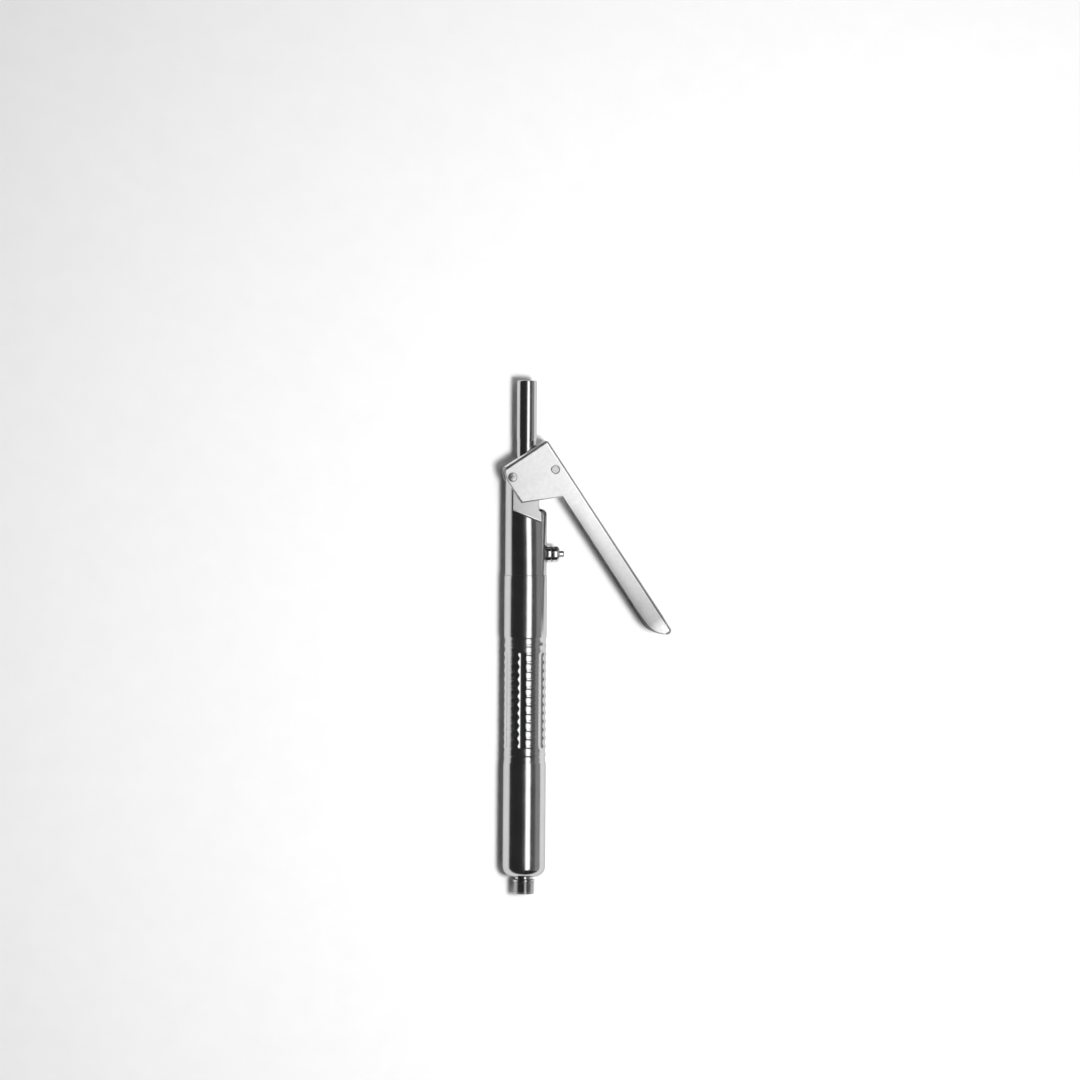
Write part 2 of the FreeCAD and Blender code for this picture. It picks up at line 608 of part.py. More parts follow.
def coil(name, radius, wire, low, high, turns):
    """Coil spring on the barrel axis, from the low end to the high end."""
    path = doc.addObject("Part::Helix", name + "_path")
    path.setExpression("Radius", bound(radius))
    path.setExpression("Height", bound(high) + " - (" + bound(low) + ") - 2 * " + bound(wire))
    path.setExpression("Pitch", name + "_path.Height / " + bound(turns))
    path.Placement = Placement(Vector(0, 0, 0), Rotation(Vector(1, 0, 0), -90))
    path.setExpression("Placement.Base.y", bound(low + " + " + wire + " - thread_middle"))
    section = doc.addObject("Part::Circle", name + "_section")
    section.setExpression("Radius", bound(wire))
    section.setExpression("Placement.Base.x", bound(radius))
    section.setExpression("Placement.Base.y", bound(low + " + " + wire + " - thread_middle"))
    doc.recompute()
    sweep = doc.addObject("Part::Sweep", name)
    sweep.Label = name
    sweep.Sections = [section]
    sweep.Spine = (path, ["Edge1"])
    sweep.Solid = True
    sweep.Frenet = True
    nodes.append(sweep)


ball("inlet_valve_ball", "inlet_ball", "inlet_ball_height")
coil("inlet_valve_spring", "inlet_coil", "valve_wire",
     "inlet_coil_low", "cage_roof", "5")

# Return spring on its seat washer, under the piston.
along_barrel(turned("spring_seat_washer",
                    tube_outline("seat_hole", "seat_radius", "barrel_floor", "seat_top")))
coil("return_spring", "spring_coil", "spring_wire", "seat_top", "piston_low - 0.05",
     "spring_turns")

# Piston with a groove for its seal, one for its guide ring, a socket for the tube.
PISTON_GROOVE = "piston_ring_radius - piston_ring_section"
along_barrel(turned("piston", [
    ("piston_bore", "piston_low"),
    ("piston_radius", "piston_low"),
    ("piston_radius", "piston_ring_height - piston_ring_section"),
    (PISTON_GROOVE, "piston_ring_height - piston_ring_section"),
    (PISTON_GROOVE, "piston_ring_height + piston_ring_section"),
    ("piston_radius", "piston_ring_height + piston_ring_section"),
    ("piston_radius", "guide_low"),
    ("guide_inner", "guide_low"),
    ("guide_inner", "guide_high"),
    ("piston_radius", "guide_high"),
    ("piston_radius", "piston_top"),
    ("rod_radius", "piston_top"),
    ("rod_radius", "tube_foot"),
    ("piston_bore", "tube_foot"),
]))
along_barrel(ring("piston_seal", "piston_ring_radius", "piston_ring_height",
                  "piston_ring_section"))
along_barrel(turned("piston_guide_ring",
                    tube_outline("guide_inner", "guide_outer", "guide_low", "guide_high")))

# Outlet tube, which is also the piston rod, with a hole for the fork screw.
tube = turned("outlet_tube", [
    ("tube_bore", "tube_foot"),
    ("rod_radius", "tube_foot"),
    ("rod_radius", "rod_top"),
    ("tube_radius", "rod_top"),
    ("tube_radius", "tube_top"),
    ("tube_bore", "tube_top"),
])
soften(tube, "Fillet", "tube_round",
       lambda p, e: near(p.z, "tube_top") and near(math.hypot(p.x, p.y), "tube_radius"))
sketch = sketch_on(tube, "YZ_Plane")
draw_circle(sketch, "0", "fork_height", "screw_radius")
cut(tube, sketch, None, True).Reversed = True
along_barrel(tube)

ball("outlet_valve_ball", "outlet_ball", "outlet_ball_height")
coil("outlet_valve_spring", "outlet_coil", "valve_wire",
     "outlet_coil_low", "retainer_low", "5")
along_barrel(turned("outlet_valve_retainer",
                    tube_outline("retainer_hole", "tube_bore", "retainer_low",
                                 "retainer_high")))

# Head: round housing with a spigot below and a milled tongue above.
head = turned("head_housing", [
    ("head_bore", "head_foot"),
    ("barrel_bore", "head_foot"),
    ("barrel_bore", "joint_ring_height - joint_ring_section"),
    ("joint_ring_radius - joint_ring_section", "joint_ring_height - joint_ring_section"),
    ("joint_ring_radius - joint_ring_section", "joint_ring_height + joint_ring_section"),
    ("barrel_bore", "joint_ring_height + joint_ring_section"),
    ("barrel_bore", "barrel_top"),
    ("head_radius", "barrel_top"),
    ("head_radius", "tongue_top"),
    ("rod_way", "tongue_top"),
    ("rod_way", "head_bore_top"),
    ("head_bore", "head_bore_top"),
])
soften(head, "Fillet", "tongue_round",
       lambda p, e: near(p.z, "tongue_top") and near(math.hypot(p.x, p.y), "head_radius"))
# Lever side of the tongue, down to the shoulder.
sketch = sketch_on(head, "XZ_Plane")
draw_outline(sketch, [
    ("tongue_right", "shoulder_height"),
    ("tongue_right + 10", "shoulder_height"),
    ("tongue_right + 10", "tongue_top + 5"),
    ("tongue_right", "tongue_top + 5"),
])
cut(head, sketch)
soften(head, "Fillet", "shoulder_round",
       lambda p, e: near(p.z, "shoulder_height") and near(math.hypot(p.x, p.y), "head_radius"))
# The two flats, each ending in a slanted ledge.
for side, one_way in (("0 - tongue_flat", True), ("tongue_flat", False)):
    sketch = sketch_on(head, "XZ_Plane", {"z": side})
    draw_outline(sketch, [
        ("0 - ledge_reach", "ledge_high"),
        ("ledge_reach", "ledge_low"),
        ("ledge_reach", "tongue_top + 5"),
        ("0 - ledge_reach", "tongue_top + 5"),
    ])
    cut(head, sketch, None, True).Reversed = not one_way
    doc.recompute()
LEDGE_FALL = (VALUE["ledge_high"] - VALUE["ledge_low"]) / (2 * VALUE["ledge_reach"])


def on_ledge(p, e):
    height = VALUE["ledge_high"] - LEDGE_FALL * (p.x + VALUE["ledge_reach"])
    return abs(p.z - height) < 0.02 and near(abs(p.y), "tongue_flat")


soften(head, "Fillet", "ledge_fillet", on_ledge)
# Slot for the fork, open at the top and toward the lever.
sketch = sketch_on(head, "YZ_Plane")
draw_outline(sketch, [
    ("0 - slot_half", "slot_floor"),
    ("slot_half", "slot_floor"),
    ("slot_half", "tongue_top + 5"),
    ("0 - slot_half", "tongue_top + 5"),
])
cut(head, sketch, None, True).Reversed = True
# Holes for the pivot screw and the side stop.
sketch = sketch_on(head, "XZ_Plane")
draw_circle(sketch, "pivot_x", "pivot_height", "pivot_radius")
cut(head, sketch)
sketch = sketch_on(head, "YZ_Plane")
draw_circle(sketch, "0", "stop_height", "boss_root")
cut(head, sketch, None, True).Reversed = True
# Flat under the collar of the side stop.
sketch = sketch_on(head, "YZ_Plane", {"z": "boss_face"})
draw_circle(sketch, "0", "stop_height", "boss_radius")
cut(head, sketch, None, True).Reversed = True
along_barrel(head)

along_barrel(ring("barrel_joint_o_ring", "joint_ring_radius", "joint_ring_height",
                  "joint_ring_section"))
along_barrel(ring("rod_seal", "rod_ring_radius", "rod_ring_height", "rod_ring_section"))
along_barrel(turned("gland_nut", tube_outline("rod_way", "head_bore", "head_foot",
                                              "gland_top")))
along_barrel(turned("lower_guide_bush",
                    tube_outline("bush_bore", "head_bore", "low_bush_foot", "low_bush_top")))
along_barrel(turned("upper_guide_bush",
                    tube_outline("bush_bore", "head_bore", "high_bush_foot",
                                 "head_bore_top")))
along_barrel(turned("rest_buffer",
                    tube_outline("rod_way", "seat_radius", "buffer_low", "head_foot")))

# Side stop: boss screwed into the head, lock nut and stop screw.
toward_lever(turned("stop_boss", [
    ("stop_bore", "boss_start"),
    ("boss_root", "boss_start"),
    ("boss_root", "boss_face"),
    ("boss_radius", "boss_face"),
    ("boss_radius", "boss_end - 0.5"),
    ("boss_radius - 0.5", "boss_end"),
    ("stop_bore", "boss_end"),
]))
toward_lever(turned("stop_locknut", [
    ("stop_bore", "boss_end"),
    ("locknut_radius - 0.3", "boss_end"),
    ("locknut_radius", "boss_end + 0.3"),
    ("locknut_radius", "locknut_end - locknut_chamfer"),
    ("locknut_radius - locknut_chamfer", "locknut_end"),
    ("stop_bore", "locknut_end"),
]))
toward_lever(turned("stop_screw", [
    ("0", "stop_start"),
    ("stop_radius", "stop_start"),
    ("stop_radius", "stop_end - 0.4"),
    ("stop_radius - 0.4", "stop_end"),
    ("0", "stop_end"),
]))

# Pivot: slotted screw, nut on the far side and a washer beside each ear.
screw = turned("pivot_screw", [
    ("0", "0 - nut_end"),
    ("pivot_radius", "0 - nut_end"),
    ("pivot_radius", "pivot_head_low"),
    ("pivot_head", "pivot_head_low"),
    ("pivot_head", "pivot_head_top - 0.4"),
    ("pivot_head - 0.4", "pivot_head_top"),
    ("0", "pivot_head_top"),
])
sketch = sketch_on(screw, "YZ_Plane")
draw_outline(sketch, [
    ("0 - pivot_slot_half", "pivot_head_top - pivot_slot_depth"),
    ("pivot_slot_half", "pivot_head_top - pivot_slot_depth"),
    ("pivot_slot_half", "pivot_head_top + 1"),
    ("0 - pivot_slot_half", "pivot_head_top + 1"),
])
cut(screw, sketch)
at_pivot(screw, False)

nut = new_body("pivot_nut")
sketch = sketch_on(nut, "XY_Plane", {"z": "0 - nut_end"})
corner = VALUE["nut_radius"]
for i in range(6):
    start = Vector(corner * math.cos(math.pi * i / 3), corner * math.sin(math.pi * i / 3), 0)
    angle = math.pi * (i + 1) / 3
    stop = Vector(corner * math.cos(angle), corner * math.sin(angle), 0)
    sketch.addGeometry(Part.LineSegment(start, stop), False)
for i in range(6):
    sketch.addConstraint(Sketcher.Constraint("Coincident", i, 2, (i + 1) % 6, 1))
round_nut = Part.Circle(Vector(0, 0, 0), Vector(0, 0, 1), corner)
guide = sketch.addGeometry(round_nut, True)
sketch.addConstraint(Sketcher.Constraint("Coincident", guide, 3, -1, 1))
pin_radius(sketch, guide, "nut_radius")
for i in range(6):
    sketch.addConstraint(Sketcher.Constraint("PointOnObject", i, 1, guide))
for i in range(5):
    sketch.addConstraint(Sketcher.Constraint("Equal", i, i + 1))
sketch.addConstraint(Sketcher.Constraint("PointOnObject", 0, 1, -1))
solid = nut.newObject("PartDesign::Pad", "nut_pad")
solid.Profile = sketch
solid.setExpression("Length", bound("nut_end - pivot_head_low"))
doc.recompute()
sketch = sketch_on(nut, "XY_Plane")
draw_circle(sketch, "0", "0", "pivot_radius")
cut(nut, sketch)
at_pivot(nut, False)

WASHER_INNER = "tongue_flat"
for name, low, high in (("pivot_washer_upper", WASHER_INNER, "washer_outer"),
                        ("pivot_washer_lower", "0 - washer_outer", "0 - tongue_flat")):
    at_pivot(turned(name, tube_outline("washer_hole", "washer_radius", low, high)), False)

# Lever: bent sheet channel with a top flange that the tube passes through.
lever = new_body("lever")
sketch = sketch_on(lever, "XY_Plane")
draw_outline(sketch, [
    ("top_corner_x", "lever_top", "ear_curve"),
    ("lever_back", "lever_top"),
    ("back_end", "tip_y"),
    ("lip_end", "tip_y"),
    ("arm_edge", "arm_end", "tip_curve"),
    ("arm_edge", "arm_start"),
    ("ear_foot_x", "ear_foot_y"),
    ("ear_x", "ear_top"),
])
pad(lever, sketch, "lever_half")


def corner_at(across, up):
    """Test for an edge that runs along Z at the given place."""
    return lambda p, e: near(p.x, across) and near(p.y, up)


soften(lever, "Fillet", "lever_bend", corner_at("lever_back", "lever_top"))
soften(lever, "Fillet", "lever_bend", corner_at("back_end", "tip_y"))


def on_bend(p, e):
    """Outer edges of the back, the lip and the top flange."""
    on_side = near(abs(p.z), "lever_half")
    on_back = p.x > VALUE["lever_back"] - VALUE["lever_bend"]
    return on_side and (on_back or near(p.y, "lever_top") or near(p.y, "tip_y"))


soften(lever, "Fillet", "lever_bend", on_bend)
# Inside of the channel.
sketch = sketch_on(lever, "XY_Plane")
draw_outline(sketch, [
    ("ear_x - 5", "lever_top - sheet"),
    ("lever_back - sheet", "lever_top - sheet"),
    ("back_end - sheet", "tip_y + sheet"),
    ("lip_end", "tip_y + sheet"),
    ("lip_end", "tip_y - 5"),
    ("ear_x - 5", "tip_y - 5"),
])
cut(lever, sketch, "lever_gap")
# Slot in the top flange for the outlet tube.
sketch = sketch_on(lever, "XZ_Plane")
draw_outline(sketch, [
    ("ear_x - 5", "0 - flange_slot_half"),
    ("flange_slot_end", "0 - flange_slot_half"),
    ("flange_slot_end", "flange_slot_half"),
    ("ear_x - 5", "flange_slot_half"),
])
cut(lever, sketch)
# Holes for the pivot screw and the drive pin.
sketch = sketch_on(lever, "XY_Plane")
draw_circle(sketch, "0", "0", "pivot_hole")
draw_circle(sketch, "pin_x", "pin_y", "pin_radius")
cut(lever, sketch)
at_pivot(lever, True)

at_pivot(turned("drive_pin", [
    ("0", "0 - pin_end"),
    ("pin_radius + pin_rim", "0 - pin_end"),
    ("pin_radius + pin_rim", "0 - lever_half"),
    ("pin_radius", "0 - lever_half"),
    ("pin_radius", "lever_half"),
    ("pin_radius + pin_rim", "lever_half"),
    ("pin_radius + pin_rim", "pin_end"),
    ("0", "pin_end"),
], {"x": "pin_x", "z": "0 - pin_y"}), True)

# Fork on the outlet tube; the drive pin runs between its prongs.
fork = new_body("drive_fork")
sketch = sketch_on(fork, "XY_Plane")
draw_outline(sketch, [
    ("fork_root", "0 - fork_outer"),
    ("fork_end", "0 - fork_outer"),
    ("fork_end", "0 - fork_gap"),
    ("fork_floor", "0 - fork_gap"),
    ("fork_floor", "fork_gap"),
    ("fork_end", "fork_gap"),
    ("fork_end", "fork_outer"),
    ("fork_root", "fork_outer"),
])
pad(fork, sketch, "fork_half")
soften(fork, "Fillet", "fork_round",
       lambda p, e: near(p.x, "fork_end") and near(abs(p.y), "fork_outer"))
sketch = sketch_on(fork, "XZ_Plane")
draw_circle(sketch, "0", "0", "rod_radius")
cut(fork, sketch)
sketch = sketch_on(fork, "YZ_Plane")
draw_circle(sketch, "0", "0", "screw_radius")
cut(fork, sketch)
fork.setExpression("Placement.Base.y", bound("fork_height - thread_middle"))

fork_screw = turned("fork_screw", [
    ("0", "tube_bore"),
    ("screw_radius", "tube_bore"),
    ("screw_radius", "fork_floor"),
    ("screw_head", "fork_floor"),
    ("screw_head", "screw_head_end - 0.3"),
    ("screw_head - 0.3", "screw_head_end"),
    ("0", "screw_head_end"),
])
fork_screw.Placement = Placement(Vector(0, 0, 0), Rotation(Vector(0, 1, 0), 90))
fork_screw.setExpression("Placement.Base.y", bound("fork_height - thread_middle"))

doc.recompute()

faults = []
for thing in doc.Objects:
    if "Invalid" in thing.State or "Error" in thing.State:
        faults.append(thing.Label + " is in error")
for node in nodes:
    shape = node.Shape
    if shape.isNull() or not shape.isValid() or not shape.Solids:
        faults.append(node.Label + " has no valid solid")
if faults:
    raise RuntimeError("; ".join(faults))

os.makedirs("parts", exist_ok=True)
for node in nodes:
    node.Shape.exportStep("parts/%s.step" % node.Label)
    box = node.Shape.BoundBox
    print("%-24s %9.1f mm3  x %7.2f %7.2f  y %7.2f %7.2f  z %7.2f %7.2f" % (
        node.Label, node.Shape.Volume, box.XMin, box.XMax, box.YMin, box.YMax,
        box.ZMin, box.ZMax))
print(len(nodes), "sub-parts written")
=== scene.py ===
"""Looks of the hand injector gun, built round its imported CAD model.

Metres, in the CAD frame: X toward the lever, Y along the barrel, Z up.
Heights along the barrel are counted from the open end of the inlet thread.
"""

import json
import math

import bmesh
import bpy
from mathutils import Matrix, Vector


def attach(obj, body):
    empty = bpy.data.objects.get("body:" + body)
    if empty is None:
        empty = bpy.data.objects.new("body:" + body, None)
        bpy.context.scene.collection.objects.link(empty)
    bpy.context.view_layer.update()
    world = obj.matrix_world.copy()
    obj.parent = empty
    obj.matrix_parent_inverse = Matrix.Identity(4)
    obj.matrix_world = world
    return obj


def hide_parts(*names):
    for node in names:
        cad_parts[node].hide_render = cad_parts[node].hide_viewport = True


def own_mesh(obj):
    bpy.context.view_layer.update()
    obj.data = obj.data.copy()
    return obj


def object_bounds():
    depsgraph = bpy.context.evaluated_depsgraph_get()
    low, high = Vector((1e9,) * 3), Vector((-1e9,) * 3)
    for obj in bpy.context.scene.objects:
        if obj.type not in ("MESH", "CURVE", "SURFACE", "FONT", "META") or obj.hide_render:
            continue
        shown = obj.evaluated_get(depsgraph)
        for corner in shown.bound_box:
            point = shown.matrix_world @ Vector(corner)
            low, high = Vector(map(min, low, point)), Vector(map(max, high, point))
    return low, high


MM = 0.001
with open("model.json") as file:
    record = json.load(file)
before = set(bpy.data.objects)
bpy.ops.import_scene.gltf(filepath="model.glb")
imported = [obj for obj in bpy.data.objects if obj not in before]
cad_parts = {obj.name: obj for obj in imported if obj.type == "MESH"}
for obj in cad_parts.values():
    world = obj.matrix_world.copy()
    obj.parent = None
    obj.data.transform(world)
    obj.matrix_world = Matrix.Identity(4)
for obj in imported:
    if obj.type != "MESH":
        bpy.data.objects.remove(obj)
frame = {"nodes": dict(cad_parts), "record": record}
nodes = frame["nodes"]
cad_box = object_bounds()

# Sizes of the turned pieces, in millimetres. They are as in the CAD model, except that
# the thread's form, the mesh steps and the blends are only here.
THREAD_MIDDLE = 4.8
BARREL_RADIUS = 12.85
BARREL_BORE = 9.5
BARREL_FOOT = 10.5
BARREL_TOP = 191.1
BARREL_FLOOR = 24.5
FOOT_ROUND = 6.3
RIM_ROUND = 0.25
SPIGOT_RADIUS = 6.0
FIRST_GROOVE = 81.2
GROOVE_PITCH = 70.5 / 14
GROOVE_COUNT = 15
GROOVE_DEPTH = 0.55
GROOVE_CUTTER = 5.0
FLUTE_COUNT = 6
FLUTE_TURN = -12.4
FLUTE_CUTTER = 4.9
FLUTE_DEPTH = 1.0
FLUTE_LOW = 89.9
FLUTE_HIGH = 143.0
FLUTE_SECTOR = 360 / FLUTE_COUNT
GRIP_MESH_LOW = 74
GRIP_MESH_HIGH = 158
GRIP_MESH_STEP = 0.21
PLAIN_MESH_STEP = 4
LAND_BLEND = 0.16
FLUTE_BLEND = 0.22
THREAD_RADIUS = 6.58
THREAD_LENGTH = 8.7
THREAD_PITCH = 1.337
THREAD_DEPTH = 0.75
THREAD_FADE = 1.2
NOSE_ROUND = 1.5
NECK_RADIUS = 5.2
NECK_CHAMFER = 0.6
SPIGOT_TOP = 18.0
MOUTH_RADIUS = 4.0
MOUTH_DEPTH = 1.8
INLET_BORE = 2.75

# Place of the lever's pivot in metres, and lean of the lever's back in degrees.
LEVER_PIVOT = (-0.009, 0.245, 0.0)
LEVER_ANGLE = 33.4


# Limits for rounding edges and for telling plates from facets: lengths in metres.
WELD = 0.000001
NEARLY_FLAT = math.radians(0.5)
EDGE_ANGLE = math.radians(38)
SAME_PLANE = math.radians(0.3)
SHARP_TURN = math.radians(10)
FAIRLY_WIDE = 1.1 * MM
FACET_WIDTH = 2.4 * MM


# ---------------------------------------------------------------- geometry

def linked(name, data):
    """New object in the scene that shows a mesh, lamp or camera."""
    thing = bpy.data.objects.new(name, data)
    bpy.context.scene.collection.objects.link(thing)
    return thing


def mesh_object(name, points, faces):
    """New object made of points and faces, shaded smooth."""
    mesh = bpy.data.meshes.new(name)
    mesh.from_pydata(points, [], faces)
    mesh.validate()
    mesh.shade_smooth()
    return linked(name, mesh)


def sharpen(thing, degrees):
    """Hard edges where two faces meet at more than this angle."""
    thing.data.set_sharp_from_angle(angle=math.radians(degrees))


def lathe(name, profile, radius_at, turns):
    """Closed ring of sections about the barrel axis.

    profile is a closed list of (radius, height); radius_at(radius, height,
    angle) may change a radius. Angle 0 points up, toward +Z, and grows
    toward the lever.
    """
    points = []
    for step in range(turns):
        angle = 2 * math.pi * step / turns
        for radius, height in profile:
            r = radius_at(radius, height, angle) * MM
            y = (height - THREAD_MIDDLE) * MM
            points.append((r * math.sin(angle), y, r * math.cos(angle)))
    rows = len(profile)
    faces = []
    for step in range(turns):
        after = (step + 1) % turns
        for i in range(rows):
            j = (i + 1) % rows
            faces.append((step * rows + i, step * rows + j,
                          after * rows + j, after * rows + i))
    return mesh_object(name, points, faces)


def arc(centre, radius, start, stop, steps):
    """Points of an arc in (radius, height), angles in degrees."""
    found = []
    for i in range(steps + 1):
        a = math.radians(start + (stop - start) * i / steps)
        found.append((centre[0] + radius * math.cos(a), centre[1] + radius * math.sin(a)))
    return found


def span(low, high, step):
    """Evenly spaced values from low to high, about a step apart."""
    count = max(1, round((high - low) / step))
    return [low + (high - low) * i / count for i in range(count + 1)]


def smooth_least(a, b, width):
    """Lesser of two values, with the change between them rounded off."""
    h = max(0.0, min(1.0, 0.5 + 0.5 * (b - a) / width))
    return b + (a - b) * h - width * h * (1 - h)


def groove_radius(height):
    """Radius of the ring grooved stretch: soft waves with short lands."""
    place = (height - FIRST_GROOVE) / GROOVE_PITCH
    nearest = max(0, min(GROOVE_COUNT - 1, round(place)))
    away = abs(height - FIRST_GROOVE - nearest * GROOVE_PITCH)
    if away > GROOVE_PITCH / 2:
        return BARREL_RADIUS
    wall = (BARREL_RADIUS + GROOVE_CUTTER - GROOVE_DEPTH
            - math.sqrt(GROOVE_CUTTER ** 2 - away ** 2))
    return smooth_least(BARREL_RADIUS, wall, LAND_BLEND)


def barrel_surface(radius, height, angle):
    """Outside of the barrel with its ring grooves and grip flutes."""
    if radius < BARREL_RADIUS - 0.001:
        return radius
    if height < GRIP_MESH_LOW or height > GRIP_MESH_HIGH:
        return radius
    r = groove_radius(height)
    turn = math.degrees(angle) - FLUTE_TURN
    turn = (turn + FLUTE_SECTOR / 2) % FLUTE_SECTOR - FLUTE_SECTOR / 2
    beyond = max(0.0, FLUTE_LOW - height, height - FLUTE_HIGH)
    if beyond < FLUTE_CUTTER:
        section = math.sqrt(FLUTE_CUTTER ** 2 - beyond ** 2)
        centre = BARREL_RADIUS + FLUTE_CUTTER - FLUTE_DEPTH
        sine = centre * math.sin(math.radians(turn))
        if abs(sine) < section:
            wall = centre * math.cos(math.radians(turn)) - math.sqrt(section ** 2 - sine ** 2)
            r = smooth_least(r, wall, FLUTE_BLEND)
    return r


def make_barrel():
    """Grip barrel: a tube with a rounded foot and a finely meshed grip."""
    outer = arc((BARREL_RADIUS - FOOT_ROUND, BARREL_FOOT + FOOT_ROUND), FOOT_ROUND,
                -90, 0, 24)
    profile = [(SPIGOT_RADIUS, BARREL_FOOT)] + outer
    for low, high, step in [
        (outer[-1][1], GRIP_MESH_LOW, PLAIN_MESH_STEP),
        (GRIP_MESH_LOW, GRIP_MESH_HIGH, GRIP_MESH_STEP),
        (GRIP_MESH_HIGH, BARREL_TOP - RIM_ROUND, PLAIN_MESH_STEP),
    ]:
        profile += [(BARREL_RADIUS, height) for height in span(low, high, step)[1:]]
    profile += [(BARREL_RADIUS - 0.08, BARREL_TOP - 0.07),
                (BARREL_RADIUS - RIM_ROUND, BARREL_TOP)]
    profile += [(BARREL_BORE, BARREL_TOP), (BARREL_BORE, BARREL_FLOOR),
                (SPIGOT_RADIUS, BARREL_FLOOR)]
    barrel = lathe("grip_barrel", profile, barrel_surface, 288)
    sharpen(barrel, 40)
    return barrel


def thread_surface(radius, height, angle):
    """Helical thread on the nipple's crest radius, fading toward the neck."""
    if radius < THREAD_RADIUS - 0.01:
        return radius
    phase = height / THREAD_PITCH - angle / (2 * math.pi)
    phase = abs((phase % 1.0) - 0.5) * 2
    wave = smooth_least(1.0, max(0.0, 1.28 * phase - 0.08), 0.25)
    fade = min(1.0, max(0.0, (THREAD_LENGTH - height) / THREAD_FADE))
    return THREAD_RADIUS - THREAD_DEPTH * (1 - wave) * fade


def nose_radius(height):
    """Rounded nose of the nipple."""
    rise = min(NOSE_ROUND, max(0.0, height))
    reach = math.sqrt(max(0.0, NOSE_ROUND ** 2 - (NOSE_ROUND - rise) ** 2))
    return THREAD_RADIUS - NOSE_ROUND + reach


def make_nipple():
    """Hose nipple: a threaded nose, a neck and a spigot inside the barrel."""
    profile = [(MOUTH_RADIUS, 0.35), (MOUTH_RADIUS + 0.3, 0.05), (MOUTH_RADIUS + 0.6, 0.0)]
    profile += [(THREAD_RADIUS, height) for height in span(0.0, THREAD_LENGTH, 0.06)]
    profile += [
        (NECK_RADIUS, THREAD_LENGTH + NECK_CHAMFER), (NECK_RADIUS, BARREL_FOOT),
        (SPIGOT_RADIUS, BARREL_FOOT), (SPIGOT_RADIUS, SPIGOT_TOP),
        (INLET_BORE, SPIGOT_TOP), (INLET_BORE, MOUTH_DEPTH), (MOUTH_RADIUS, MOUTH_DEPTH),
    ]

    def surface(radius, height, angle):
        if radius < THREAD_RADIUS - 0.01:
            return radius
        return min(thread_surface(radius, height, angle), nose_radius(height))

    nipple = lathe("threaded_nipple", profile, surface, 144)
    sharpen(nipple, 45)
    return nipple


def flatten_plates(mesh):
    """Flat shading on broad plane faces, so that their rounded rims don't tint them.

    A face counts as broad when it is wider than any facet of a bend or round part, or
    when it is fairly wide and every face beside it turns away sharply.
    """
    work = bmesh.new()
    work.from_mesh(mesh)
    for face in work.faces:
        broad = 2 * face.calc_area() / face.calc_perimeter()
        turns = [edge.calc_face_angle(0.0) for edge in face.edges]
        turns = [turn for turn in turns if turn > SAME_PLANE]
        lone = broad > FAIRLY_WIDE and turns and min(turns) > SHARP_TURN
        if lone or broad > FACET_WIDTH:
            face.smooth = False
    work.to_mesh(mesh)
    work.free()


def node_mesh(node_name):
    """Copy of a CAD node's mesh, in the CAD frame."""
    mesh = nodes[node_name].data.copy()
    mesh.transform(nodes[node_name].matrix_world)
    return mesh


def eased(node_name, new_name, width, steps):
    """Copy of a CAD node with its sharp edges rounded off."""
    mesh = node_mesh(node_name)
    work = bmesh.new()
    work.from_mesh(mesh)
    bmesh.ops.remove_doubles(work, verts=work.verts, dist=WELD)
    bmesh.ops.dissolve_limit(work, angle_limit=NEARLY_FLAT, verts=work.verts, edges=work.edges)
    work.to_mesh(mesh)
    work.free()
    mesh.shade_smooth()
    thing = linked(new_name, mesh)
    bevel = thing.modifiers.new("edges", "BEVEL")
    bevel.width = width * MM
    bevel.segments = steps
    bevel.limit_method = "ANGLE"
    bevel.angle_limit = EDGE_ANGLE
    bevel.use_clamp_overlap = False
    bpy.context.view_layer.update()
    ready = bpy.data.meshes.new_from_object(
        thing.evaluated_get(bpy.context.evaluated_depsgraph_get()))
    thing.modifiers.clear()
    flatten_plates(ready)
    thing.data = ready
    return thing


# --------------------------------------------------------------- materials

EVEN = (1, 1, 1)
RINGS = (0.02, 1.0, 0.02)
ALONG = (1.0, 0.03, 1.0)


